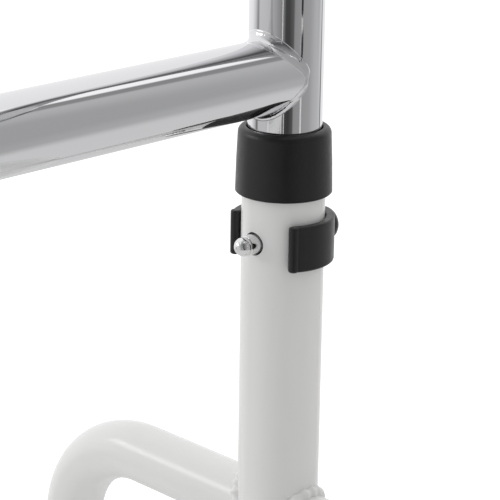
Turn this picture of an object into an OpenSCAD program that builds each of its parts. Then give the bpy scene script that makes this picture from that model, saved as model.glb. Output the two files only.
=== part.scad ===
// Toilet safety frame that stands on the floor round a toilet.
// Two painted side frames carry four posts. A chrome arm tube slides in the
// posts on each side, a chrome crossbar joins the two behind the user, and a
// clipped pin through each post sets the height.
// Millimetres, +Z up. The floor is z = 0 and the user faces -Y.

/* [Overall size] */

// Distance between the left and right posts, centre to centre
post_width = 520; // [440:10:640]

// Distance between the front and rear posts, centre to centre
post_depth = 320; // [260:5:420]

// Height of the side rail above the floor, to the centre of the tube
rail_height = 320; // [280:5:400]

// Height of the arm tube above the side rail at the lowest setting
arm_rise = 330; // [290:5:420]

// How far each leg stands in front of or behind its post
leg_reach = 112; // [90:1:150]

/* [Tubes] */

// Outside diameter of the chrome arm tubes
upright_d = 25.4; // [20:0.1:32]

// Outside diameter of the chrome crossbar, a touch under the arm tube's
crossbar_d = 25; // [19:0.1:31]

// Outside diameter of the painted rails and legs
rail_d = 22.2; // [18:0.1:25.4]

// Wall of every tube
tube_wall = 1.3; // [1:0.1:2]

// Radial gap between an arm tube and its post
slide_gap = 0.3; // [0.2:0.05:0.6]

// Centre-line radius of the arm tube's corners
arm_bend_r = 55; // [45:1:80]

// Centre-line radius of the leg's bend
leg_bend_r = 42; // [32:1:60]

/* [Height setting] */

// How many heights the frame can be set to
hole_count = 7; // [3:1:8]

// Distance from one height hole to the next
hole_pitch = 25.4; // [20:0.1:30]

// Diameter of the height holes
hole_d = 8.2; // [7.4:0.1:10]

// Diameter of the locking pin
pin_d = 7; // [5:0.1:7.2]

// Distance from the top of the collar down to the pin
pin_drop = 38.9; // [34:0.1:50]

/* [Collar and clip] */

// Height of the collar on each post
collar_h = 22.7; // [18:0.1:30]

// Wall of the collar round the post
collar_wall = 1.8; // [1.4:0.1:3]

// Thickness of the collar over the end of the post
collar_top = 2.3; // [1.6:0.1:4]

// Height of the clip along the post
clip_h = 15.8; // [12:0.1:22]

// Thickness of the clip's band
clip_wall = 3.1; // [2:0.1:4.5]

// Half the angle the clip leaves open round the pin's nose
clip_open_half = 57; // [35:1:65]

/* [Armrest] */

// Width of the armrest cushion
pad_w = 50; // [40:1:70]

// Thickness of the armrest cushion
pad_t = 14; // [10:0.5:24]

// Width of the moulded base under the cushion
pad_base_w = 42; // [36:1:60]

/* [Feet] */

// Diameter of a foot where it meets the floor
foot_d = 35; // [30:0.5:50]

// Height of a foot
foot_h = 34; // [26:0.5:45]

/* [Hidden] */

$fn = 96;

// fits and small clearances
cut = 1;                // how far a cutting shape runs past the face it cuts
crossbar_gap = 5.7;     // crossbar's underside to the collar's top
collar_rise = 142.7;    // collar's top above the side rail
end_room = 2;           // arm tube's glide to the plug below it at the lowest setting
hole_edge = 12;         // lowest height hole to the end of the arm tube
nose_out = 4.5;         // centre of the pin's ball nose beyond the post
nose_step = 0.2;        // the ball's radius under the pin's
knob_out = 7;           // pull knob beyond the clip's band
knob_r = 6.2;
pin_seat = 3;           // how far the pin runs into the knob

// tube radii
upright_r = upright_d / 2;
post_in_r = upright_r + slide_gap;
post_r = post_in_r + tube_wall;
crossbar_r = crossbar_d / 2;
rail_r = rail_d / 2;
hole_r = hole_d / 2;
pin_r = pin_d / 2;

// heights
collar_top_z = rail_height + collar_rise;
post_top = collar_top_z - collar_top;
collar_z = collar_top_z - collar_h;
pin_z = collar_top_z - pin_drop;
crossbar_z = collar_top_z + crossbar_gap + crossbar_r;
arm_z = rail_height + arm_rise;
upright_end = pin_z - (hole_count - 1) * hole_pitch - hole_edge;
glide_t = 2.4;
glide_h = 14;
plug_h = 7;
plug_t = 2;
post_end = upright_end - glide_t - end_room - plug_h;

// places in plan
post_x = post_width / 2;
post_y = post_depth / 2;
leg_y = post_y + leg_reach;

// clip
clip_in_r = post_r + slide_gap;
clip_r = clip_in_r + clip_wall;
lobe_r = clip_wall / 2 + 0.25;
lobe_at = clip_in_r + lobe_r + 0.1;

// feet
sole_t = 6;
washer_t = 2;
leg_end = sole_t + washer_t;
foot_top_r = rail_r + 3;
washer_r = rail_r - 0.1;

// armrest
arm_flat = post_depth - 2 * arm_bend_r;
pad_l = arm_flat - 6;
pad_base_l = pad_l - 8;
pad_seat = 7.3;         // plastic between the arm tube and the cushion
pad_z = arm_z + upright_r + pad_seat;
screw_y = pad_l / 2 - 40;
screw_r = 2.5;
screw_hole_r = 2.8;
head_r = 4.8;
head_h = 3.2;
insert_r = 3.5;
insert_h = 6;
insert_z = arm_z + upright_r + 0.5;

// ---- helpers ----

// points of an arc in a half-profile, from angle a0 to a1
function arc(x, y, r, a0, a1, n = 6) =
    [for (i = [0:n]) [x + r * cos(a0 + (a1 - a0) * i / n), y + r * sin(a0 + (a1 - a0) * i / n)]];

// puts a post-centred shape on one post: sx is -1 left, 1 right; sy is -1 front, 1 rear
module at_post(sx, sy) {
    translate([sx * post_x, sy * post_y, 0])
        rotate([0, 0, sx > 0 ? 0 : 180])
            children();
}

// puts children at all four posts
module at_posts() {
    for (sx = [-1, 1])
        for (sy = [-1, 1])
            at_post(sx, sy)
                children();
}

// a bar along Y, centred on x = 0
module bar_y(r, y0, y1, z) {
    translate([0, y0, z])
        rotate([-90, 0, 0])
            cylinder(r = r, h = y1 - y0);
}

// a bar along X, centred on y = 0
module bar_x(r, x0, x1, z) {
    translate([x0, 0, z])
        rotate([0, 90, 0])
            cylinder(r = r, h = x1 - x0);
}

// ---- painted side frames ----

// post: a plain tube with the pin's hole through both walls
module post() {
    difference() {
        translate([0, 0, post_end])
            cylinder(r = post_r, h = post_top - post_end);
        translate([0, 0, post_end - cut])
            cylinder(r = post_in_r, h = post_top - post_end + 2 * cut);
        bar_x(hole_r, -post_r - cut, post_r + cut, pin_z);
    }
}

// side rail between the two posts of one side, coped to their curve
module rail() {
    difference() {
        bar_y(rail_r, -post_y, post_y, rail_height);
        bar_y(rail_r - tube_wall, -post_y - cut, post_y + cut, rail_height);
        for (s = [-1, 1])
            translate([0, s * post_y, rail_height - rail_d])
                cylinder(r = post_r, h = 2 * rail_d);
    }
}

// one leg's path filled to radius r, with its ends run on by e
module leg_path(r, e) {
    bar_y(r, -e, leg_reach - leg_bend_r, rail_height);
    translate([0, leg_reach - leg_bend_r, rail_height - leg_bend_r])
        rotate([90, 0, 90])
            rotate_extrude(angle = 90)
                translate([leg_bend_r, 0])
                    circle(r = r);
    translate([0, leg_reach, leg_end - e])
        cylinder(r = r, h = rail_height - leg_bend_r - leg_end + e);
}

// leg that leaves its post level and turns down to the floor, drawn towards +Y
module leg() {
    difference() {
        leg_path(rail_r, 0);
        leg_path(rail_r - tube_wall, cut);
        translate([0, 0, rail_height - rail_d])
            cylinder(r = post_r, h = 2 * rail_d);
    }
}

// rubber foot, drawn on its own axis
module foot() {
    difference() {
        rotate_extrude()
            polygon(concat(
                [[0, 0], [foot_d / 2 - 2, 0]],
                arc(foot_d / 2 - 2, 2, 2, -90, 0),
                [[foot_d / 2, 7], [foot_d / 2 - 2.4, 11], [foot_top_r + 0.8, foot_h - 8]],
                arc(foot_top_r - 1.2, foot_h - 1.2, 1.2, 0, 90),
                [[0, foot_h]]
            ));
        translate([0, 0, sole_t])
            cylinder(r = rail_r, h = foot_h);
        for (z = [foot_h - 16, foot_h - 11])
            translate([0, 0, z])
                ring_cut(foot_top_r + 1.1, 1.4);
    }
}

// a shallow groove: everything outside r_in over a height h
module ring_cut(r_in, h) {
    difference() {
        cylinder(r = foot_d, h = h);
        translate([0, 0, -cut])
            cylinder(r = r_in - 0.5, h = h + 2 * cut);
    }
}

module foot_washer() {
    translate([0, 0, sole_t])
        cylinder(r = washer_r, h = washer_t);
}

// plug that closes the bottom of a post
module post_plug() {
    translate([0, 0, post_end - plug_t])
        cylinder(r = post_r, h = plug_t);
    translate([0, 0, post_end])
        difference() {
            cylinder(r = post_in_r, h = plug_h);
            translate([0, 0, cut])
                cylinder(r = post_in_r - 2.5, h = plug_h);
        }
}

// collar over the top of a post
module collar() {
    r_top = post_r + collar_wall - 0.25;
    r_mid = post_r + collar_wall + 0.15;
    r_low = post_r + collar_wall + 0.45;
    round_r = 2.25;
    translate([0, 0, collar_z])
        rotate_extrude()
            polygon(concat(
                [[post_r, 0], [r_low - 0.2, 0], [r_low, 0.2]],
                [[r_mid, collar_h / 2]],
                arc(r_top - round_r, collar_h - round_r, round_r, 0, 90, 8),
                arc(post_in_r + 0.3, collar_h - 0.3, 0.3, 90, 180, 3),
                [[post_in_r, collar_h - collar_top], [post_r, collar_h - collar_top]]
            ));
}

// ---- clip and pin, drawn for the right side: the nose points to -X ----

// the C-shaped band's cross-section, with its four edges eased
module clip_section() {
    e = 0.7;
    translate([clip_in_r, -clip_h / 2])
        polygon(concat(
            arc(e, e, e, 180, 270, 3),
            arc(clip_wall - e, e, e, 270, 360, 3),
            arc(clip_wall - e, clip_h - e, e, 0, 90, 3),
            arc(e, clip_h - e, e, 90, 180, 3)
        ));
}

// rounded end of one of the clip's arms
module clip_lobe() {
    e = 0.7;
    translate([0, 0, -clip_h / 2])
        rotate_extrude()
            polygon(concat(
                [[0, 0]],
                arc(lobe_r - e, e, e, -90, 0, 3),
                arc(lobe_r - e, clip_h - e, e, 0, 90, 3),
                [[0, clip_h]]
            ));
}

// pull knob on the clip's back, its axis along X
module clip_knob() {
    neck = 2.4;
    dome = knob_out - neck;
    translate([clip_r, 0, 0])
        rotate([0, 90, 0])
            rotate_extrude()
                polygon(concat(
                    [[0, -clip_wall / 2], [knob_r + 0.9, -clip_wall / 2], [knob_r + 0.9, 0.6], [knob_r, 1.2]],
                    [for (i = [0:8]) [knob_r * cos(i * 90 / 8), neck + dome * sin(i * 90 / 8)]]
                ));
}

module clip() {
    a = 180 - clip_open_half;
    translate([0, 0, pin_z])
        difference() {
            union() {
                rotate([0, 0, -a])
                    rotate_extrude(angle = 2 * a)
                        clip_section();
                for (s = [-1, 1])
                    rotate([0, 0, s * a])
                        translate([lobe_at, 0, 0])
                            clip_lobe();
                clip_knob();
            }
            bar_x(pin_r, 0, clip_r + pin_seat, 0);
        }
}

// steel pin: a straight shank, a short chamfer and a ball nose a little thinner than the shank
module pin() {
    chamfer = 0.4;
    ball_r = pin_r - nose_step;
    neck_r = ball_r - 0.2;
    tip = post_r + nose_out;
    shank_end = tip - 0.6;
    bar_x(pin_r, -shank_end + chamfer, clip_r + pin_seat, pin_z);
    translate([-shank_end + chamfer, 0, pin_z])
        rotate([0, -90, 0])
            cylinder(r1 = pin_r, r2 = neck_r, h = chamfer);
    translate([-tip, 0, pin_z])
        rotate([0, -90, 0])
            sphere(r = ball_r);
}

// ---- chrome upper frame ----

// one arm's path filled to radius r, with its ends run on by e
module arm_path(r, e) {
    for (s = [-1, 1]) {
        translate([0, s * post_y, upright_end - e])
            cylinder(r = r, h = arm_z - arm_bend_r - upright_end + e);
        translate([0, s * (post_y - arm_bend_r), arm_z - arm_bend_r])
            rotate([90, 0, s * 90])
                rotate_extrude(angle = 90)
                    translate([arm_bend_r, 0])
                        circle(r = r);
    }
    bar_y(r, -arm_flat / 2, arm_flat / 2, arm_z);
}

// arm tube: two uprights with a row of height holes, joined by the armrest length
module arm() {
    difference() {
        arm_path(upright_r, 0);
        arm_path(upright_r - tube_wall, cut);
        for (s = [-1, 1])
            for (i = [0:hole_count - 1])
                translate([0, s * post_y, 0])
                    bar_x(hole_r, -upright_d, upright_d, pin_z - i * hole_pitch);
        for (s = [-1, 1])
            translate([0, s * screw_y, arm_z - upright_d])
                cylinder(r = screw_hole_r, h = 2 * upright_d);
    }
}

// crossbar between the rear uprights, coped to their curve
module crossbar_tube() {
    translate([0, post_y, 0])
        difference() {
            bar_x(crossbar_r, -post_x, post_x, crossbar_z);
            bar_x(crossbar_r - tube_wall, -post_x - cut, post_x + cut, crossbar_z);
            for (s = [-1, 1])
                translate([s * post_x, 0, crossbar_z - crossbar_d])
                    cylinder(r = upright_r, h = 2 * crossbar_d);
        }
}

// glide in the lower end of an upright
module glide() {
    translate([0, 0, upright_end - glide_t])
        cylinder(r = upright_r, h = glide_t);
    translate([0, 0, upright_end])
        difference() {
            cylinder(r = upright_r - tube_wall, h = hole_edge - hole_r - 1);
            translate([0, 0, cut])
                cylinder(r = upright_r - tube_wall - 2.5, h = glide_h);
        }
}

// ---- armrest ----

// a bar of length l along Y with half-round ends, from a half-profile of half-width w
module pad_bar(l, w) {
    for (s = [-1, 1])
        translate([0, s * (l / 2 - w), 0])
            rotate([0, 0, s > 0 ? 0 : 180])
                rotate_extrude(angle = 180)
                    children();
    for (s = [0, 1])
        mirror([s, 0, 0])
            translate([0, l / 2 - w, 0])
                rotate([90, 0, 0])
                    linear_extrude(height = l - 2 * w)
                        children();
}

// cushion's half-profile
module pad_half() {
    w = pad_w / 2;
    polygon(concat(
        [[0, 0]],
        arc(w - 2.2, 2.2, 2.2, -90, 0, 4),
        arc(w - 7.5, pad_t - 7.5 - 1, 7.5, 0, 82, 8),
        [[0, pad_t]]
    ));
}

// moulded base's half-profile
module pad_base_half() {
    w = pad_base_w / 2;
    h = upright_r + pad_seat;
    polygon(concat(
        [[0, 0]],
        arc(w - 3, 3, 3, -90, 0, 5),
        [[w, h], [0, h]]
    ));
}

module pad() {
    translate([0, 0, pad_z])
        pad_bar(pad_l, pad_w / 2)
            pad_half();
}

module pad_base() {
    difference() {
        translate([0, 0, arm_z])
            pad_bar(pad_base_l, pad_base_w / 2)
                pad_base_half();
        bar_y(upright_r, -pad_l, pad_l, arm_z);
        for (s = [-1, 1])
            translate([0, s * screw_y, insert_z]) {
                cylinder(r = insert_r, h = insert_h);
                translate([0, 0, -upright_r])
                    cylinder(r = screw_hole_r, h = upright_r + cut);
            }
    }
}

module pad_insert() {
    difference() {
        translate([0, 0, insert_z])
            cylinder(r = insert_r, h = insert_h);
        translate([0, 0, insert_z - cut])
            cylinder(r = screw_r, h = insert_h + 2 * cut);
    }
}

// pan-head screw driven from below, with a cross recess
module pad_screw() {
    z0 = arm_z - upright_r;
    difference() {
        union() {
            translate([0, 0, z0 - head_h])
                cylinder(r1 = head_r - 1.2, r2 = head_r, h = head_h);
            translate([0, 0, z0 - 0.5])
                cylinder(r = screw_r, h = insert_z + insert_h - z0);
        }
        for (a = [0, 90])
            rotate([0, 0, a])
                translate([-2.6, -0.5, z0 - head_h - cut])
                    cube([5.2, 1, 1.6 + cut]);
    }
}

// ---- the named pieces ----

module post_fl() { color("white") at_post(-1, -1) post(); }
module post_fr() { color("white") at_post(1, -1) post(); }
module post_rl() { color("white") at_post(-1, 1) post(); }
module post_rr() { color("white") at_post(1, 1) post(); }

module rail_l() { color("white") translate([-post_x, 0, 0]) rail(); }
module rail_r() { color("white") translate([post_x, 0, 0]) rail(); }

module leg_at(sx, sy) {
    translate([sx * post_x, sy * post_y, 0])
        rotate([0, 0, sy > 0 ? 0 : 180])
            leg();
}

module leg_fl() { color("white") leg_at(-1, -1); }
module leg_fr() { color("white") leg_at(1, -1); }
module leg_rl() { color("white") leg_at(-1, 1); }
module leg_rr() { color("white") leg_at(1, 1); }

module foot_fl() { color("dimgray") translate([-post_x, -leg_y, 0]) foot(); }
module foot_fr() { color("dimgray") translate([post_x, -leg_y, 0]) foot(); }
module foot_rl() { color("dimgray") translate([-post_x, leg_y, 0]) foot(); }
module foot_rr() { color("dimgray") translate([post_x, leg_y, 0]) foot(); }

module foot_washers() {
    color("silver")
        for (sx = [-1, 1])
            for (sy = [-1, 1])
                translate([sx * post_x, sy * leg_y, 0])
                    foot_washer();
}

module collar_fl() { color("black") at_post(-1, -1) collar(); }
module collar_fr() { color("black") at_post(1, -1) collar(); }
module collar_rl() { color("black") at_post(-1, 1) collar(); }
module collar_rr() { color("black") at_post(1, 1) collar(); }

module post_plugs() { color("black") at_posts() post_plug(); }

module clip_fl() { color("black") at_post(-1, -1) clip(); }
module clip_fr() { color("black") at_post(1, -1) clip(); }
module clip_rl() { color("black") at_post(-1, 1) clip(); }
module clip_rr() { color("black") at_post(1, 1) clip(); }

module pin_fl() { color("silver") at_post(-1, -1) pin(); }
module pin_fr() { color("silver") at_post(1, -1) pin(); }
module pin_rl() { color("silver") at_post(-1, 1) pin(); }
module pin_rr() { color("silver") at_post(1, 1) pin(); }

module arm_l() { color("lightgray") translate([-post_x, 0, 0]) arm(); }
module arm_r() { color("lightgray") translate([post_x, 0, 0]) arm(); }

module crossbar() { color("lightgray") crossbar_tube(); }

module arm_glides() { color("black") at_posts() glide(); }

module pad_base_l() { color("black") translate([-post_x, 0, 0]) pad_base(); }
module pad_base_r() { color("black") translate([post_x, 0, 0]) pad_base(); }

module both_screws(sx) {
    for (s = [-1, 1])
        translate([sx * post_x, s * screw_y, 0])
            children();
}

module pad_inserts_l() { color("gold") both_screws(-1) pad_insert(); }
module pad_inserts_r() { color("gold") both_screws(1) pad_insert(); }

module pad_screws_l() { color("silver") both_screws(-1) pad_screw(); }
module pad_screws_r() { color("silver") both_screws(1) pad_screw(); }

module pad_l() { color("dimgray") translate([-post_x, 0, 0]) pad(); }
module pad_r() { color("dimgray") translate([post_x, 0, 0]) pad(); }

post_fl();
post_fr();
post_rl();
post_rr();
rail_l();
rail_r();
leg_fl();
leg_fr();
leg_rl();
leg_rr();
foot_fl();
foot_fr();
foot_rl();
foot_rr();
foot_washers();
collar_fl();
collar_fr();
collar_rl();
collar_rr();
post_plugs();
clip_fl();
clip_fr();
clip_rl();
clip_rr();
pin_fl();
pin_fr();
pin_rl();
pin_rr();
arm_l();
arm_r();
crossbar();
arm_glides();
pad_base_l();
pad_base_r();
pad_inserts_l();
pad_inserts_r();
pad_screws_l();
pad_screws_r();
pad_l();
pad_r();
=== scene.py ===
# %% [markdown]
# # A toilet safety frame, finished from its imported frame
#
# The metal and plastic parts come in ready made, at their real size and in
# their real places. What is left for Blender is what a catalogue picture is
# about: powder coat, chrome plate, moulded plastic and rubber, the weld beads
# that hold the tubes together, and the two soft armrest cushions.
#
# Everything here is in metres. +Z is up and the user faces -Y.

import math

import bmesh
import bpy
from mathutils import Matrix, Vector


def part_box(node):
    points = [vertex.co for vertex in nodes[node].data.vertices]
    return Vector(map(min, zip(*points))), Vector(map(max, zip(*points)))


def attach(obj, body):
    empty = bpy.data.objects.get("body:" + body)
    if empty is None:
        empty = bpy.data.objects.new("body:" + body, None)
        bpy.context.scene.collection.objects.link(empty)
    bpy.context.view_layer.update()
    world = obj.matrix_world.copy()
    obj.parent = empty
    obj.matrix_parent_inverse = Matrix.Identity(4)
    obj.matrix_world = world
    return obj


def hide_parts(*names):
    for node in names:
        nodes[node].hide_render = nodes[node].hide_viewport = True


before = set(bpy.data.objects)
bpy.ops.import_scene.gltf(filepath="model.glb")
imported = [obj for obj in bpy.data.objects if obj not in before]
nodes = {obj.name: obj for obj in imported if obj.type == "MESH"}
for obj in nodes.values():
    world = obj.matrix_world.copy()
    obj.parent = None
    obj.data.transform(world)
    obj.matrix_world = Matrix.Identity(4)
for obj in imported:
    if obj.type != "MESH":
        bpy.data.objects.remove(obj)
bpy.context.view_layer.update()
mm = 0.001

# %% [markdown]
# ## Sizes read from the frame
#
# Later steps need to know where tubes meet. Nothing is typed in twice: each
# place is read from the box of a node. A post's box gives its axis and its
# radius, the rail's box gives the height of the welds, and so on.

# %% Sizes and places


def middle(node):
    low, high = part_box(node)
    return (Vector(low) + Vector(high)) / 2


def extent(node):
    low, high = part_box(node)
    return Vector(high) - Vector(low)


post_axis = middle("post_rr")
post_x, post_y = post_axis.x, post_axis.y
post_r = extent("post_rr").x / 2
upright_r = extent("arm_r").x / 2
rail_r = extent("rail_r").x / 2
rail_z = middle("rail_r").z
crossbar_r = extent("crossbar").z / 2
crossbar_z = middle("crossbar").z
pin_z = middle("pin_rr").z

CORNERS = ((-1, -1), (1, -1), (-1, 1), (1, 1))

print("post radius, mm:", round(post_r / mm, 2), "upright radius, mm:", round(upright_r / mm, 2))

# %% [markdown]
# ## Camera
#
# The view is a close look at one joint: the rear post on the +X side, seen
# from inside the frame with a long lens. The camera is placed by how far it
# stands back from that post and how high above the collar's foot, and it is
# turned with three directions that are worked out here: right, forward and up.
# The lens isn't shifted, so any other view of the frame stays centred too.

# %% Camera
VIEW_AZIMUTH = math.radians(-45.31)
VIEW_DOWN = math.radians(18.30)
VIEW_ROLL = math.radians(0.85)
STAND_BACK = 0.6917
STAND_SIDE = -0.0111
STAND_ABOVE_COLLAR = 0.2070
LENS_MM = 153
SENSOR_MM = 36

right = Vector((math.cos(VIEW_AZIMUTH), math.sin(VIEW_AZIMUTH), 0))
away = Vector((-math.sin(VIEW_AZIMUTH), math.cos(VIEW_AZIMUTH), 0))
up = Vector((0, 0, 1))

collar_foot = Vector((post_x, post_y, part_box("collar_rr")[0][2]))
forward = away * math.cos(VIEW_DOWN) - up * math.sin(VIEW_DOWN)
lift = away * math.sin(VIEW_DOWN) + up * math.cos(VIEW_DOWN)
cam_right = right * math.cos(VIEW_ROLL) + lift * math.sin(VIEW_ROLL)
cam_up = lift * math.cos(VIEW_ROLL) - right * math.sin(VIEW_ROLL)

camera_data = bpy.data.cameras.new("camera")
camera_data.sensor_width = SENSOR_MM
camera_data.lens = LENS_MM
camera_data.clip_start = 0.02
camera = bpy.data.objects.new("camera", camera_data)
camera.matrix_world = Matrix((cam_right, cam_up, -forward)).transposed().to_4x4()
camera.location = collar_foot + right * STAND_SIDE - away * STAND_BACK + up * STAND_ABOVE_COLLAR
bpy.context.scene.collection.objects.link(camera)
bpy.context.scene.camera = camera
print("camera at, m:", [round(v, 3) for v in camera.location])

# %% [markdown]
# ## Two small helpers
#
# Colours are written as sRGB hex values, the way a paint chart gives them, and
# turned to linear light by one function. Another function adds a shader node
# with its settings and links in one line, which keeps each material readable
# from top to bottom.

# %% Helpers for colours and nodes


def linear(hex_colour):
    """An sRGB hex colour as linear RGBA."""
    channels = [int(hex_colour[i:i + 2], 16) / 255 for i in (1, 3, 5)]
    return [c / 12.92 if c <= 0.04045 else ((c + 0.055) / 1.055) ** 2.4 for c in channels] + [1]


def add(tree, kind, inputs=None, **settings):
    """Adds a node. A value in inputs is set on its socket; a socket there is linked to it."""
    node = tree.nodes.new(kind)
    for name, value in settings.items():
        setattr(node, name, value)
    for name, value in (inputs or {}).items():
        socket = node.inputs[name]
        if isinstance(value, bpy.types.NodeSocket):
            tree.links.new(value, socket)
        else:
            socket.default_value = value
    return node


# %% [markdown]
# ## Studio
#
# The studio is a white cove. What makes chrome look like chrome is what stands
# round it, so the backdrop isn't one white: behind the frame it is bright, on
# the camera's side it falls to grey, and there is a narrow dark gap where the
# camera and its stand would be. The world shader paints that from the
# direction of each ray. One colour ramp runs round the room just below the
# horizon, which is what the upright tubes mirror, and a second one runs round
# it above, which is what the crossbar mirrors. The floor takes over further
# down and the ceiling further up.
#
# A diffuse surface blurs all of that together, so diffuse rays get a simpler
# and dimmer dome, as if the room were lit through a big white tent. The tent is
# brighter behind the frame and overhead than on the camera's side, which is
# what makes a painted tube look round.
# What the camera sees directly stays plain white.

# %% World
scene = bpy.context.scene
scene.view_settings.view_transform = "Standard"
world = bpy.data.worlds.new("studio")
scene.world = world
world.use_nodes = True
sky = world.node_tree
sky.nodes.clear()

# degrees to the right of the camera's own direction, and how bright the studio is there
LOW_RING = [
    (-180, 1.0), (-124, 0.95), (-112, 0.70), (-104, 0.50), (-99, 0.20), (-95, 0.22), (-90, 0.60),
    (-66, 0.60), (-50, 0.56), (-40, 0.46), (-28, 0.35), (-19, 0.30), (-9, 0.22), (-4, 0.06),
    (8, 0.05), (14, 0.08), (20, 0.10), (24, 0.31), (45, 0.35), (75, 0.40), (90, 0.50), (115, 0.58),
    (126, 0.68), (129, 0.18), (132, 0.20), (136, 0.95), (180, 1.0),
]
HIGH_RING = [
    (-180, 1.0), (-100, 1.0), (-85, 0.85), (-45, 0.55), (-15, 0.22), (0, 0.10), (15, 0.22),
    (45, 0.40), (88, 0.43), (94, 0.50), (100, 0.54), (104, 0.54), (107, 0.31), (116, 0.29),
    (119, 1.15), (132, 1.15), (137, 0.96), (180, 1.0),
]
FLOOR_LEVEL = 0.71
CEILING_LEVEL = 0.95
TENT_LEVEL = 0.715
TENT_TO_LEFT = 0.045
TENT_TO_BACK = 0.35
TENT_TO_TOP = 0.15

# where one ring or level gives way to the next, as the height of a ray of length 1
LOW_TO_HIGH = (-0.24, -0.04)
WALL_TO_FLOOR = (-0.30, -0.56)
WALL_TO_CEILING = (0.78, 0.97)


def ring(turn, levels):
    """A ramp round the horizon through (degrees, brightness) stops."""
    ramp = add(sky, "ShaderNodeValToRGB", {"Fac": turn})
    stops = ramp.color_ramp.elements
    while len(stops) < len(levels):
        stops.new(1.0)
    for stop, (degrees, level) in zip(stops, levels):
        stop.position = (degrees + 180) / 360
        stop.color = (level, level, level * 1.004, 1)
    return ramp.outputs["Color"]


ray = add(sky, "ShaderNodeTexCoord").outputs["Generated"]
to_right = add(sky, "ShaderNodeVectorMath", {0: ray, 1: right}, operation="DOT_PRODUCT").outputs["Value"]
to_camera = add(sky, "ShaderNodeVectorMath", {0: ray, 1: -away}, operation="DOT_PRODUCT").outputs["Value"]
height = add(sky, "ShaderNodeVectorMath", {0: ray, 1: up}, operation="DOT_PRODUCT").outputs["Value"]
bearing = add(sky, "ShaderNodeMath", {0: to_right, 1: to_camera}, operation="ARCTAN2").outputs[0]
turn = add(sky, "ShaderNodeMapRange", {"Value": bearing, "From Min": -math.pi, "From Max": math.pi})

rising = add(sky, "ShaderNodeMapRange", {
    "Value": height, "From Min": LOW_TO_HIGH[0], "From Max": LOW_TO_HIGH[1]})
below = add(sky, "ShaderNodeMapRange", {
    "Value": height, "From Min": WALL_TO_FLOOR[0], "From Max": WALL_TO_FLOOR[1]},
    interpolation_type="SMOOTHSTEP")
overhead = add(sky, "ShaderNodeMapRange", {
    "Value": height, "From Min": WALL_TO_CEILING[0], "From Max": WALL_TO_CEILING[1]},
    interpolation_type="SMOOTHSTEP")
walls = add(sky, "ShaderNodeMixRGB", {
    "Fac": rising.outputs["Result"],
    "Color1": ring(turn.outputs[0], LOW_RING),
    "Color2": ring(turn.outputs[0], HIGH_RING),
})
with_floor = add(sky, "ShaderNodeMixRGB", {
    "Fac": below.outputs["Result"],
    "Color1": walls.outputs["Color"],
    "Color2": (FLOOR_LEVEL, FLOOR_LEVEL, FLOOR_LEVEL, 1),
})
mirrored_room = add(sky, "ShaderNodeMixRGB", {
    "Fac": overhead.outputs["Result"],
    "Color1": with_floor.outputs["Color"],
    "Color2": (CEILING_LEVEL, CEILING_LEVEL, CEILING_LEVEL, 1),
})

tent_lean = -right * TENT_TO_LEFT + away * TENT_TO_BACK + up * TENT_TO_TOP
tent = add(sky, "ShaderNodeVectorMath", {0: ray, 1: tent_lean}, operation="DOT_PRODUCT").outputs["Value"]
tent_light = add(sky, "ShaderNodeMath", {0: tent, 1: TENT_LEVEL}, operation="ADD")
path = add(sky, "ShaderNodeLightPath")
for_paint = add(sky, "ShaderNodeMixRGB", {
    "Fac": path.outputs["Is Diffuse Ray"],
    "Color1": mirrored_room.outputs["Color"],
    "Color2": tent_light.outputs[0],
})
backdrop = add(sky, "ShaderNodeMixRGB", {
    "Fac": path.outputs["Is Camera Ray"],
    "Color1": for_paint.outputs["Color"],
    "Color2": (1, 1, 1, 1),
})
light = add(sky, "ShaderNodeBackground", {"Color": backdrop.outputs["Color"], "Strength": 1.0})
add(sky, "ShaderNodeOutputWorld", {"Surface": light.outputs["Background"]})
print("studio bearings:", len(LOW_RING), len(HIGH_RING))

# %% [markdown]
# ## Floor and side light
#
# The floor is a plain pale sheet, bright enough to run into the backdrop. It
# is hidden from reflections, because the studio above already says what chrome
# sees when it looks down. One narrow softbox stands to the left and draws a
# thin line of light along the painted bend.

# %% Floor and light


def mesh_object(name, vertices, faces, material=None):
    """A new object with its place in its mesh."""
    mesh = bpy.data.meshes.new(name)
    mesh.from_pydata([tuple(v) for v in vertices], [], faces)
    mesh.update()
    piece = bpy.data.objects.new(name, mesh)
    bpy.context.scene.collection.objects.link(piece)
    if material:
        mesh.materials.append(material)
    return piece


FLOOR_GLOW = 0.50
FLOOR_REACH = 12
SOFTBOX_WIDE = 0.30
SOFTBOX_TALL = 0.9
SOFTBOX_WATTS = 3.2
SOFTBOX_OFF = 1.6

floor_paint = bpy.data.materials.new("floor_sheet")
floor_paint.use_nodes = True
floor_tree = floor_paint.node_tree
floor_tree.nodes.clear()
matt = add(floor_tree, "ShaderNodeBsdfDiffuse", {"Color": linear("#F0F0F0")})
seen = add(floor_tree, "ShaderNodeLightPath").outputs["Is Camera Ray"]
lit_from_below = add(floor_tree, "ShaderNodeMath", {0: seen, 1: FLOOR_GLOW}, operation="MULTIPLY")
glow = add(floor_tree, "ShaderNodeEmission", {"Color": (1, 1, 1, 1), "Strength": lit_from_below.outputs[0]})
both = add(floor_tree, "ShaderNodeAddShader", {0: matt.outputs[0], 1: glow.outputs[0]})
add(floor_tree, "ShaderNodeOutputMaterial", {"Surface": both.outputs[0]})

corners = [(x * FLOOR_REACH, y * FLOOR_REACH, 0) for x, y in ((-1, -1), (1, -1), (1, 1), (-1, 1))]
floor = mesh_object("floor", corners, [(0, 1, 2, 3)], floor_paint)
floor.visible_glossy = False

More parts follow.
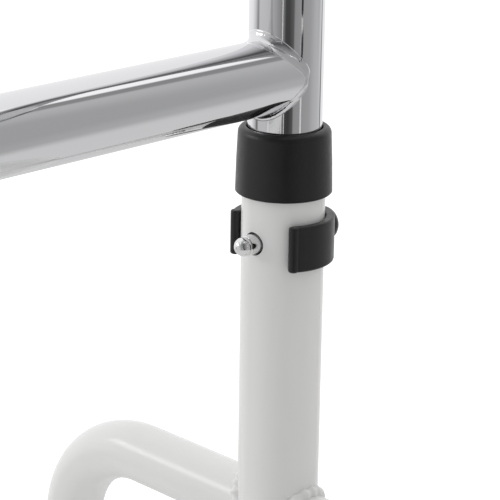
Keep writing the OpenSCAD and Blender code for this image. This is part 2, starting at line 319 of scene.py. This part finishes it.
strip_data = bpy.data.lights.new("side_softbox", "AREA")
strip_data.shape = "RECTANGLE"
strip_data.size = SOFTBOX_WIDE
strip_data.size_y = SOFTBOX_TALL
strip_data.energy = SOFTBOX_WATTS
strip = bpy.data.objects.new("side_softbox", strip_data)
strip_from = Vector((post_x, post_y, rail_z))
strip_way = (-right * 0.92 + up * 0.39).normalized()
strip.location = strip_from + strip_way * SOFTBOX_OFF
strip.rotation_mode = "QUATERNION"
strip.rotation_quaternion = strip_way.to_track_quat("Z", "X")
bpy.context.scene.collection.objects.link(strip)
print("softbox at, m:", [round(v, 2) for v in strip.location])

# %% [markdown]
# ## Powder coat
#
# The side frames are mild steel tube, sprayed with white polyester powder and
# baked. Baking leaves a hard, glossy film that is thicker than wet paint, so
# light catches a faint orange peel in it, with dimples one to two millimetres
# across. The colour is a clean, cool white with a trace of unevenness.

# %% Material: powder coat


def new_material(name):
    material = bpy.data.materials.new(name)
    material.use_nodes = True
    tree = material.node_tree
    tree.nodes.clear()
    return material, tree, add(tree, "ShaderNodeTexCoord").outputs["Object"]


def finish_material(tree, shader):
    add(tree, "ShaderNodeOutputMaterial", {"Surface": shader.outputs[0]})


def per(size_mm):
    """A texture scale whose features are about this many millimetres apart."""
    return 1 / (size_mm * mm)


def powder_coat():
    material, tree, place = new_material("powder_coat_white")
    tone = add(tree, "ShaderNodeTexNoise", {"Vector": place, "Scale": per(60), "Detail": 2})
    colour = add(tree, "ShaderNodeValToRGB", {"Fac": tone.outputs["Fac"]})
    colour.color_ramp.elements[0].color = linear("#E9E9E7")
    colour.color_ramp.elements[1].color = linear("#F1F1F0")
    film = add(tree, "ShaderNodeTexNoise", {"Vector": place, "Scale": per(9), "Detail": 3})
    sheen = add(tree, "ShaderNodeMapRange", {"Value": film.outputs["Fac"], "To Min": 0.17, "To Max": 0.27})
    peel = add(tree, "ShaderNodeTexNoise", {
        "Vector": place, "Scale": per(1.7), "Detail": 1.5, "Roughness": 0.4})
    bump = add(tree, "ShaderNodeBump", {
        "Height": peel.outputs["Fac"], "Strength": 0.10, "Distance": 0.05 * mm})
    shader = add(tree, "ShaderNodeBsdfPrincipled", {
        "Base Color": colour.outputs["Color"],
        "Roughness": sheen.outputs["Result"],
        "IOR": 1.5,
        "Normal": bump.outputs["Normal"],
    })
    finish_material(tree, shader)
    return material


white_coat = powder_coat()

# %% [markdown]
# ## Chrome plate
#
# The arms and the crossbar are steel tube plated with nickel and a thin layer
# of chromium, which mirrors the studio with a slight cool cast. A drawn tube
# isn't a perfect cylinder: it has very long, shallow waves along it. Handling
# leaves a haze of fine wipe marks. The crossbar's welds were ground and
# polished before plating, but the wheel couldn't reach every pore, so there
# the mirror is lumpier and breaks up into small pits. The same function makes
# that second finish from other sizes.

# %% Material: chrome plate


def chrome_plate(name, wave_mm, wave_depth, along_tube, pit_depth):
    material, tree, place = new_material(name)
    along = add(tree, "ShaderNodeMapping", {"Vector": place, "Scale": (1, 1, along_tube)})
    waves = add(tree, "ShaderNodeTexNoise", {
        "Vector": along.outputs["Vector"], "Scale": per(wave_mm), "Detail": 1.5})
    wipes = add(tree, "ShaderNodeTexNoise", {
        "Vector": place, "Scale": per(11), "Detail": 6, "Roughness": 0.7})
    haze = add(tree, "ShaderNodeMapRange", {
        "Value": wipes.outputs["Fac"], "From Min": 0.45, "From Max": 0.8, "To Min": 0.035, "To Max": 0.085})
    bump = add(tree, "ShaderNodeBump", {
        "Height": waves.outputs["Fac"], "Strength": 1.0, "Distance": wave_depth * mm})
    if pit_depth:
        pores = add(tree, "ShaderNodeTexVoronoi", {"Vector": place, "Scale": per(1.5)})
        pit = add(tree, "ShaderNodeMapRange", {
            "Value": pores.outputs["Distance"], "From Min": 0.10, "From Max": 0.30,
            "To Min": -1, "To Max": 0})
        bump = add(tree, "ShaderNodeBump", {
            "Height": pit.outputs["Result"], "Strength": 1.0, "Distance": pit_depth * mm,
            "Normal": bump.outputs["Normal"]})
    shader = add(tree, "ShaderNodeBsdfPrincipled", {
        "Base Color": linear("#E2E2E4"),
        "Metallic": 1.0,
        "Roughness": haze.outputs["Result"],
        "Normal": bump.outputs["Normal"],
    })
    finish_material(tree, shader)
    return material


chrome = chrome_plate("chrome_plate", 14, 0.0024, 0.12, 0)
weld_chrome = chrome_plate("chrome_plate_on_ground_weld", 2.4, 0.05, 1, 0.03)

# %% [markdown]
# ## Moulded black plastic
#
# The collars, plugs, glides and armrest bases are injection moulded
# polypropylene, and the clips are nylon. Both are black all through. A spark
# eroded mould gives them a very fine grain that takes the shine off the flats,
# and in small random patches the surface is a little smoother. One function makes
# each of them with its own grain and gloss.

# %% Material: moulded plastic


def moulded(name, dark, lighter, rough_low, rough_high, grain_mm, grain_depth):
    material, tree, place = new_material(name)
    cloud = add(tree, "ShaderNodeTexNoise", {"Vector": place, "Scale": per(8), "Detail": 4})
    colour = add(tree, "ShaderNodeValToRGB", {"Fac": cloud.outputs["Fac"]})
    colour.color_ramp.elements[0].color = linear(dark)
    colour.color_ramp.elements[1].color = linear(lighter)
    rubbed = add(tree, "ShaderNodeTexNoise", {
        "Vector": place, "Scale": per(3), "Detail": 5, "Roughness": 0.6})
    rough = add(tree, "ShaderNodeMapRange", {
        "Value": rubbed.outputs["Fac"], "From Min": 0.3, "From Max": 0.7,
        "To Min": rough_low, "To Max": rough_high})
    grain = add(tree, "ShaderNodeTexNoise", {"Vector": place, "Scale": per(grain_mm), "Detail": 3})
    bump = add(tree, "ShaderNodeBump", {
        "Height": grain.outputs["Fac"], "Strength": 0.35, "Distance": grain_depth * mm})
    shader = add(tree, "ShaderNodeBsdfPrincipled", {
        "Base Color": colour.outputs["Color"],
        "Roughness": rough.outputs["Result"],
        "IOR": 1.49,
        "Normal": bump.outputs["Normal"],
    })
    finish_material(tree, shader)
    return material


collar_plastic = moulded("polypropylene_grained", "#101011", "#151516", 0.34, 0.44, 0.9, 0.07)
clip_nylon = moulded("nylon_satin", "#101011", "#151516", 0.30, 0.40, 0.8, 0.03)
base_plastic = moulded("armrest_base_plastic", "#1C1C1D", "#232324", 0.40, 0.52, 0.9, 0.08)

# %% [markdown]
# ## Rubber, small metal parts
#
# Feet are moulded rubber, dull and dusty where they meet the floor. Screws and
# washers are zinc plated, the inserts are turned brass, and the locking pins
# are hardened steel with a bright plate.

# %% Materials: rubber, zinc, brass, pin steel


def foot_rubber():
    material, tree, place = new_material("moulded_rubber")
    dust = add(tree, "ShaderNodeTexNoise", {"Vector": place, "Scale": per(5), "Detail": 5})
    low = add(tree, "ShaderNodeSeparateXYZ", {"Vector": place})
    near_floor = add(tree, "ShaderNodeMapRange", {
        "Value": low.outputs["Z"], "From Min": 0, "From Max": 12 * mm, "To Min": 0.7, "To Max": 0.1})
    dusty = add(tree, "ShaderNodeMath", {0: dust.outputs["Fac"], 1: near_floor.outputs["Result"]},
                operation="MULTIPLY")
    colour = add(tree, "ShaderNodeMixRGB", {
        "Fac": dusty.outputs[0], "Color1": linear("#232324"), "Color2": linear("#4A4947")})
    grain = add(tree, "ShaderNodeTexNoise", {"Vector": place, "Scale": per(0.8), "Detail": 4})
    bump = add(tree, "ShaderNodeBump", {
        "Height": grain.outputs["Fac"], "Strength": 0.4, "Distance": 0.1 * mm})
    rough = add(tree, "ShaderNodeMapRange", {"Value": dust.outputs["Fac"], "To Min": 0.58, "To Max": 0.78})
    shader = add(tree, "ShaderNodeBsdfPrincipled", {
        "Base Color": colour.outputs["Color"],
        "Roughness": rough.outputs["Result"],
        "Normal": bump.outputs["Normal"],
    })
    finish_material(tree, shader)
    return material


def plain_metal(name, colour_hex, rough_low, rough_high, mark_mm):
    material, tree, place = new_material(name)
    marks = add(tree, "ShaderNodeTexNoise", {"Vector": place, "Scale": per(mark_mm), "Detail": 5})
    rough = add(tree, "ShaderNodeMapRange", {
        "Value": marks.outputs["Fac"], "From Min": 0.35, "From Max": 0.7,
        "To Min": rough_low, "To Max": rough_high})
    bump = add(tree, "ShaderNodeBump", {
        "Height": marks.outputs["Fac"], "Strength": 0.08, "Distance": 0.02 * mm})
    shader = add(tree, "ShaderNodeBsdfPrincipled", {
        "Base Color": linear(colour_hex),
        "Metallic": 1.0,
        "Roughness": rough.outputs["Result"],
        "Normal": bump.outputs["Normal"],
    })
    finish_material(tree, shader)
    return material


rubber = foot_rubber()
zinc = plain_metal("zinc_plate", "#BFC1C4", 0.22, 0.38, 1.5)
brass = plain_metal("turned_brass", "#C9A65A", 0.18, 0.30, 0.8)
pin_steel = plain_metal("bright_pin_steel", "#E6E6E6", 0.04, 0.12, 2.5)

# %% [markdown]
# ## Finishes on the ready-made parts
#
# A node keeps its mesh and its place. Only the material in its slots is
# exchanged, by what the piece is called.

# %% Dress the nodes
FINISH = {
    "post_plugs": collar_plastic, "post": white_coat, "rail": white_coat, "leg": white_coat,
    "foot_washers": zinc, "foot": rubber, "collar": collar_plastic, "clip": clip_nylon,
    "pin": pin_steel, "arm_glides": collar_plastic, "arm": chrome, "crossbar": chrome,
    "pad_base": base_plastic, "pad_inserts": brass, "pad_screws": zinc, "pad": base_plastic,
}


def finish_of(name):
    longest = max((key for key in FINISH if name.startswith(key)), key=len)
    return FINISH[longest]


for name, node in nodes.items():
    node.data.materials.clear()
    node.data.materials.append(finish_of(name))
print("dressed:", len(nodes))

# %% [markdown]
# ## Weld beads
#
# Where one round tube meets another square on, the seam is a saddle: a circle
# of the branch tube's radius, wrapped onto the main tube. Geometry Nodes can
# make it from a flat circle by moving each point to where the two cylinders
# meet, and then sweeping a small round bead along it. Ripples from the torch
# and a little unevenness are added along the surface afterwards. The tree has
# named inputs, so one tree makes the heavy painted beads and the thin rolled
# rims round the pin holes.

# %% Geometry Nodes: a bead along a saddle seam
BEAD_INPUTS = {
    "Main radius": 14 * mm, "Branch radius": 11 * mm, "Bead radius": 2 * mm,
    "Ripple depth": 0.1 * mm, "Unevenness": 0.2 * mm, "Ripples": 32.0, "Seed": 3.0,
}


def saddle_tree():
    tree = bpy.data.node_groups.new("saddle_bead", "GeometryNodeTree")
    face = tree.interface
    face.new_socket("Geometry", in_out="OUTPUT", socket_type="NodeSocketGeometry")
    for name, value in BEAD_INPUTS.items():
        face.new_socket(name, in_out="INPUT", socket_type="NodeSocketFloat").default_value = value
    face.new_socket("Points along", in_out="INPUT", socket_type="NodeSocketInt").default_value = 160
    face.new_socket("Finish", in_out="INPUT", socket_type="NodeSocketMaterial")
    given = tree.nodes.new("NodeGroupInput").outputs

    circle = add(tree, "GeometryNodeCurvePrimitiveCircle",
                 {"Radius": given["Branch radius"], "Resolution": given["Points along"]})
    flat = add(tree, "ShaderNodeSeparateXYZ", {"Vector": add(tree, "GeometryNodeInputPosition").outputs[0]})
    main_sq = add(tree, "ShaderNodeMath", {0: given["Main radius"], 1: 2.0}, operation="POWER")
    side_sq = add(tree, "ShaderNodeMath", {0: flat.outputs["X"], 1: flat.outputs["X"]},
                  operation="MULTIPLY")
    depth_sq = add(tree, "ShaderNodeMath", {0: main_sq.outputs[0], 1: side_sq.outputs[0]},
                   operation="SUBTRACT")
    out = add(tree, "ShaderNodeMath", {0: depth_sq.outputs[0]}, operation="SQRT")
    seat = add(tree, "ShaderNodeCombineXYZ",
               {"X": out.outputs[0], "Y": flat.outputs["X"], "Z": flat.outputs["Y"]})
    saddle = add(tree, "GeometryNodeSetPosition",
                 {"Geometry": circle.outputs["Curve"], "Position": seat.outputs[0]})

    how_far = add(tree, "GeometryNodeSplineParameter").outputs["Factor"]
    kept = tree.nodes.new("GeometryNodeCaptureAttribute")
    kept.capture_items.new("FLOAT", "how far")
    tree.links.new(saddle.outputs["Geometry"], kept.inputs["Geometry"])
    tree.links.new(how_far, kept.inputs["how far"])
    section = add(tree, "GeometryNodeCurvePrimitiveCircle",
                  {"Radius": given["Bead radius"], "Resolution": 14})
    bead = add(tree, "GeometryNodeCurveToMesh",
               {"Curve": kept.outputs["Geometry"], "Profile Curve": section.outputs["Curve"]})

    turns = add(tree, "ShaderNodeMath", {0: given["Ripples"], 1: 2 * math.pi}, operation="MULTIPLY")
    phase = add(tree, "ShaderNodeMath", {0: kept.outputs["how far"], 1: turns.outputs[0]},
                operation="MULTIPLY")
    wave = add(tree, "ShaderNodeMath", {0: phase.outputs[0]}, operation="SINE")
    ripple = add(tree, "ShaderNodeMath", {0: wave.outputs[0], 1: given["Ripple depth"]},
                 operation="MULTIPLY")
    lumps = add(tree, "ShaderNodeTexNoise", {"W": given["Seed"], "Scale": per(6), "Detail": 2.0},
                noise_dimensions="4D")
    lump = add(tree, "ShaderNodeMath", {0: lumps.outputs["Fac"], 1: 0.5}, operation="SUBTRACT")
    uneven = add(tree, "ShaderNodeMath", {0: lump.outputs[0], 1: given["Unevenness"]}, operation="MULTIPLY")
    swell = add(tree, "ShaderNodeMath", {0: ripple.outputs[0], 1: uneven.outputs[0]}, operation="ADD")
    outward = add(tree, "ShaderNodeVectorMath",
                  {0: add(tree, "GeometryNodeInputNormal").outputs["Normal"], "Scale": swell.outputs[0]},
                  operation="SCALE")
    rough_bead = add(tree, "GeometryNodeSetPosition",
                     {"Geometry": bead.outputs["Mesh"], "Offset": outward.outputs[0]})
    smooth = add(tree, "GeometryNodeSetShadeSmooth", {"Geometry": rough_bead.outputs["Geometry"]})
    real = add(tree, "GeometryNodeRealizeInstances", {"Geometry": smooth.outputs["Geometry"]})
    dressed = add(tree, "GeometryNodeSetMaterial",
                  {"Geometry": real.outputs["Geometry"], "Material": given["Finish"]})
    add(tree, "NodeGroupOutput", {"Geometry": dressed.outputs["Geometry"]})
    return tree


bead_tree = saddle_tree()
print("bead tree nodes:", len(bead_tree.nodes))

# %% [markdown]
# ## From tree to mesh
#
# A modifier is only a recipe, and the finished model should hold plain meshes.
# This helper sets the inputs by their identifiers, lets Blender work the tree
# out, and keeps the result. Each seam is then turned and moved to its joint,
# and all the seams on one body become one mesh.

# %% Run a tree and gather its results


def grown(tree, values):
    """The mesh that a tree makes with these inputs, by input name."""
    holder = mesh_object("holder", [(0, 0, 0)], [])
    recipe = holder.modifiers.new("grow", "NODES")
    recipe.node_group = tree
    for item in tree.interface.items_tree:
        if item.in_out == "INPUT" and item.name in values:
            recipe[item.identifier] = values[item.name]
    holder.update_tag()
    depsgraph = bpy.context.evaluated_depsgraph_get()
    mesh = bpy.data.meshes.new_from_object(holder.evaluated_get(depsgraph))
    bpy.data.objects.remove(holder)
    return mesh


def seat_at(centre, branch_way):
    """Turns a seam made along +X, on a main tube along Z, to face branch_way at centre."""
    way = Vector(branch_way).normalized()
    side = Vector((0, 0, 1)).cross(way)
    return Matrix.Translation(centre) @ Matrix((way, side, Vector((0, 0, 1)))).transposed().to_4x4()


def gather(name, parts, material, body):
    """Joins (mesh, matrix) pairs into one piece that rides on a body."""
    joined = bmesh.new()
    for mesh, matrix in parts:
        copy = mesh.copy()
        copy.transform(matrix)
        joined.from_mesh(copy)
        bpy.data.meshes.remove(copy)
    bmesh.ops.recalc_face_normals(joined, faces=joined.faces)
    mesh = bpy.data.meshes.new(name)
    joined.to_mesh(mesh)
    joined.free()
    mesh.materials.clear()
    mesh.materials.append(material)
    for face in mesh.polygons:
        face.use_smooth = True
        face.material_index = 0
    piece = bpy.data.objects.new(name, mesh)
    bpy.context.scene.collection.objects.link(piece)
    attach(piece, body)
    print(name, "faces:", len(mesh.polygons))
    return piece


# %% [markdown]
# ## Painted welds of the side frames
#
# The rail and the leg are welded to each post from either side, before the
# frame is painted. The welder leaves a row of overlapping drops, and the powder
# coat rounds them off. Each seam is one bead with 23 ripples, a little uneven,
# set just outside the smaller tube so that it fills the corner.

# %% Weld the side frames
painted_bead = grown(bead_tree, {
    "Main radius": post_r, "Branch radius": rail_r + 0.4 * mm, "Bead radius": 2.4 * mm,
    "Ripple depth": 0.32 * mm, "Unevenness": 1.1 * mm, "Ripples": 23.0, "Points along": 276,
    "Finish": white_coat})
painted_seams = []
for side_x, side_y in CORNERS:
    at = Vector((side_x * post_x, side_y * post_y, rail_z))
    for way_y in (1, -1):
        painted_seams.append((painted_bead, seat_at(at, (0, way_y, 0))))
gather("weld_beads_side_frames", painted_seams, white_coat, "base")

# %% [markdown]
# ## Polished welds of the crossbar
#
# Before plating, the crossbar's welds are ground to a smooth hollow. The two
# tubes are almost the same size, so the hollow is wide above and below, where
# they meet at a right angle, and fades to nothing at the sides, where one
# surface runs into the other. A bead of one thickness can't do that. Each
# section is drawn instead: it starts on the crossbar, ends on the arm tube and
# bends through the seam between them. A little noise keeps it hand-made.

# %% Weld the crossbar
from mathutils import noise

LUMP_SPACING = 2.2 * mm
ON_CROSSBAR_MM = 1.5
ON_CROSSBAR_SWELL_MM = 3.6
ON_ARM_MM = 3.8
CLOSED_INSIDE = 0.9


def weld_section(turn, branch_r, main_r, steps=16):
    """Points of one section of the hollow, and one inside the metal that closes it."""
    rise = abs(math.sin(turn)) ** 1.5
    room = 1.0 if math.sin(turn) > 0 else 0.5
    on_crossbar = (ON_CROSSBAR_MM + ON_CROSSBAR_SWELL_MM * room * rise) * mm
    on_arm = ON_ARM_MM * mm * room * rise
    side, tall = branch_r * math.cos(turn), branch_r * math.sin(turn)
    seam = Vector((math.sqrt(main_r ** 2 - side ** 2), side, tall))
    start = seam + Vector((on_crossbar, 0, 0))
    far_side = (branch_r + on_arm) * math.cos(turn)
    far_tall = (branch_r + on_arm) * math.sin(turn)
    end = Vector((math.sqrt(main_r ** 2 - far_side ** 2), far_side, far_tall))
    section = []
    for i in range(steps + 1):
        s = i / steps
        point = start * (1 - s) ** 2 + seam * 2 * s * (1 - s) + end * s ** 2
        swell = math.sin(math.pi * s)
        lump = noise.noise(point / LUMP_SPACING) * 0.14
        proud = ((0.12 + lump) * swell - 0.03) * mm
        from_crossbar = math.hypot(point.y, point.z)
        if from_crossbar < branch_r + proud:
            grow = (branch_r + proud) / from_crossbar
            point = Vector((point.x, point.y * grow, point.z * grow))
        from_arm = math.hypot(point.x, point.y)
        if from_arm < main_r + proud:
            grow = (main_r + proud) / from_arm
            point = Vector((point.x * grow, point.y * grow, point.z))
        section.append(point)
    inside = Vector((seam.x - 1 * mm, side * CLOSED_INSIDE, tall * CLOSED_INSIDE))
    return section + [inside]


def polished_weld(count=288):
    sections = [weld_section(2 * math.pi * i / count, crossbar_r, upright_r) for i in range(count)]
    size = len(sections[0])
    vertices = [point for section in sections for point in section]
    faces = []
    for i in range(count):
        for j in range(size):
            near, far = i * size, (i + 1) % count * size
            faces.append((near + j, far + j, far + (j + 1) % size, near + (j + 1) % size))
    mesh = bpy.data.meshes.new("polished_weld")
    mesh.from_pydata([tuple(v) for v in vertices], [], faces)
    return mesh


hollow = polished_weld()
bright_seams = [
    (hollow, seat_at(Vector((side * post_x, post_y, crossbar_z)), (-side, 0, 0))) for side in (-1, 1)
]
gather("polished_welds_crossbar", bright_seams, weld_chrome, "upper")

# %% [markdown]
# ## Rims of the pin holes
#
# A punched hole has a slightly rolled edge, and powder gathers on it as it
# bakes. The same tree, with a bead under half a millimetre thick and no
# ripples, gives each hole in the posts that soft lip.

# %% Pin hole rims
HOLE_R = 4.1 * mm
LIP_R = 0.22 * mm
LIP_SUNK = 0.12 * mm
lip = grown(bead_tree, {
    "Main radius": post_r - LIP_SUNK, "Branch radius": HOLE_R + LIP_SUNK, "Bead radius": LIP_R,
    "Ripple depth": 0.0, "Unevenness": 0.0, "Points along": 96, "Finish": white_coat})
lips = []
for side_x, side_y in CORNERS:
    at = Vector((side_x * post_x, side_y * post_y, pin_z))
    for way_x in (1, -1):
        lips.append((lip, seat_at(at, (way_x, 0, 0))))
gather("pin_hole_rims", lips, white_coat, "base")

# %% [markdown]
# ## Foam skin
#
# The armrest cushions are self-skinning foam: the foam that touches the cold
# mould closes up into a tough black skin. It isn't a fabric, so it has no
# weave. It has fine pores and soft creases, and a hand wears it smoother in
# broad patches.

# %% Material: foam skin


def foam_skin():
    material, tree, place = new_material("self_skinned_foam")
    pores = add(tree, "ShaderNodeTexVoronoi", {"Vector": place, "Scale": per(1.3), "Randomness": 1.0},
                feature="SMOOTH_F1")
    crease = add(tree, "ShaderNodeTexNoise", {
        "Vector": place, "Scale": per(3.2), "Detail": 5, "Distortion": 0.6})
    mixed = add(tree, "ShaderNodeMath", {0: pores.outputs["Distance"], 1: crease.outputs["Fac"]},
                operation="ADD")
    bump = add(tree, "ShaderNodeBump", {
        "Height": mixed.outputs[0], "Strength": 0.45, "Distance": 0.18 * mm})
    wear = add(tree, "ShaderNodeTexNoise", {"Vector": place, "Scale": per(28), "Detail": 3})
    rough = add(tree, "ShaderNodeMapRange", {
        "Value": wear.outputs["Fac"], "From Min": 0.35, "From Max": 0.65, "To Min": 0.42, "To Max": 0.58})
    colour = add(tree, "ShaderNodeValToRGB", {"Fac": wear.outputs["Fac"]})
    colour.color_ramp.elements[0].color = linear("#1D1D1E")
    colour.color_ramp.elements[1].color = linear("#28282A")
    shader = add(tree, "ShaderNodeBsdfPrincipled", {
        "Base Color": colour.outputs["Color"],
        "Roughness": rough.outputs["Result"],
        "Normal": bump.outputs["Normal"],
    })
    finish_material(tree, shader)
    return material


skin = foam_skin()

# %% [markdown]
# ## Armrest cushions
#
# Each cushion is one moulding. It comes out of a split mould with a thin
# parting line round its side, a softly crowned top that is a little lower at
# its ends, and full round edges. Its outline is a bar with half-round ends, so
# the whole surface can be built from rings of that outline: each ring has an
# inset and a height, from the middle of the underside out, up the side and in
# over the top.

# %% Cushion shape
EDGE_R = 6.5 * mm
EDGE_INSET = EDGE_R * 0.95
PARTING_LINE = 3.6 * mm
CROWN = 1.6 * mm
END_DIP = 1.2 * mm
MIDDLE_HALF_W = 1 * mm


def bar_outline(half_w, half_l, count=28):
    """Points round a bar with half-round ends, in plan."""
    points = []
    for end in (1, -1):
        for i in range(count + 1):
            turn = math.pi * i / count + (0 if end > 0 else math.pi)
            points.append((half_w * math.cos(turn), end * (half_l - half_w) + half_w * math.sin(turn)))
    return points


def cushion(name, node, body):
    low, high = (Vector(c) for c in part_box(node))
    centre = (low + high) / 2
    half_w, half_l = (high.x - low.x) / 2, (high.y - low.y) / 2
    shoulder = high.z - low.z - CROWN

    rings = [
        (half_w - MIDDLE_HALF_W, 0.0), (3 * mm, 0.0), (1.2 * mm, 0.3 * mm), (0.35 * mm, 1.2 * mm),
        (0.1 * mm, PARTING_LINE - 0.5 * mm), (0.55 * mm, PARTING_LINE), (0.1 * mm, PARTING_LINE + 0.5 * mm),
    ]
    for i in range(9):
        turn = math.radians(90 * i / 8)
        rings.append((EDGE_INSET * (1 - math.cos(turn)), shoulder - EDGE_R + EDGE_R * math.sin(turn)))
    for i in range(1, 9):
        share = i / 8
        inset = EDGE_INSET + (half_w - EDGE_INSET - MIDDLE_HALF_W) * share
        rings.append((inset, shoulder + CROWN * math.sin(share * math.pi / 2)))

    vertices, faces = [], []
    for inset, z in rings:
        for x, y in bar_outline(half_w - inset, half_l - inset):
            dip = END_DIP * (abs(y) / half_l) ** 4 if z > PARTING_LINE * 2 else 0
            vertices.append((centre.x + x, centre.y + y, low.z + z - dip))
    count = len(vertices) // len(rings)
    for r in range(len(rings) - 1):
        for i in range(count):
            j = (i + 1) % count
            faces.append((r * count + i, r * count + j, (r + 1) * count + j, (r + 1) * count + i))
    faces.append(tuple(reversed(range(count))))
    faces.append(tuple((len(rings) - 1) * count + i for i in range(count)))

    piece = mesh_object(name, vertices, faces, skin)
    shape = bmesh.new()
    shape.from_mesh(piece.data)
    bmesh.ops.remove_doubles(shape, verts=shape.verts, dist=1e-6)
    bmesh.ops.recalc_face_normals(shape, faces=shape.faces)
    shape.to_mesh(piece.data)
    shape.free()
    for face in piece.data.polygons:
        face.use_smooth = True
    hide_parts(node)
    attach(piece, body)
    return piece


for side in ("l", "r"):
    pad = cushion("armrest_cushion_" + side, "pad_" + side, "upper")
    print(pad.name, "faces:", len(pad.data.polygons))
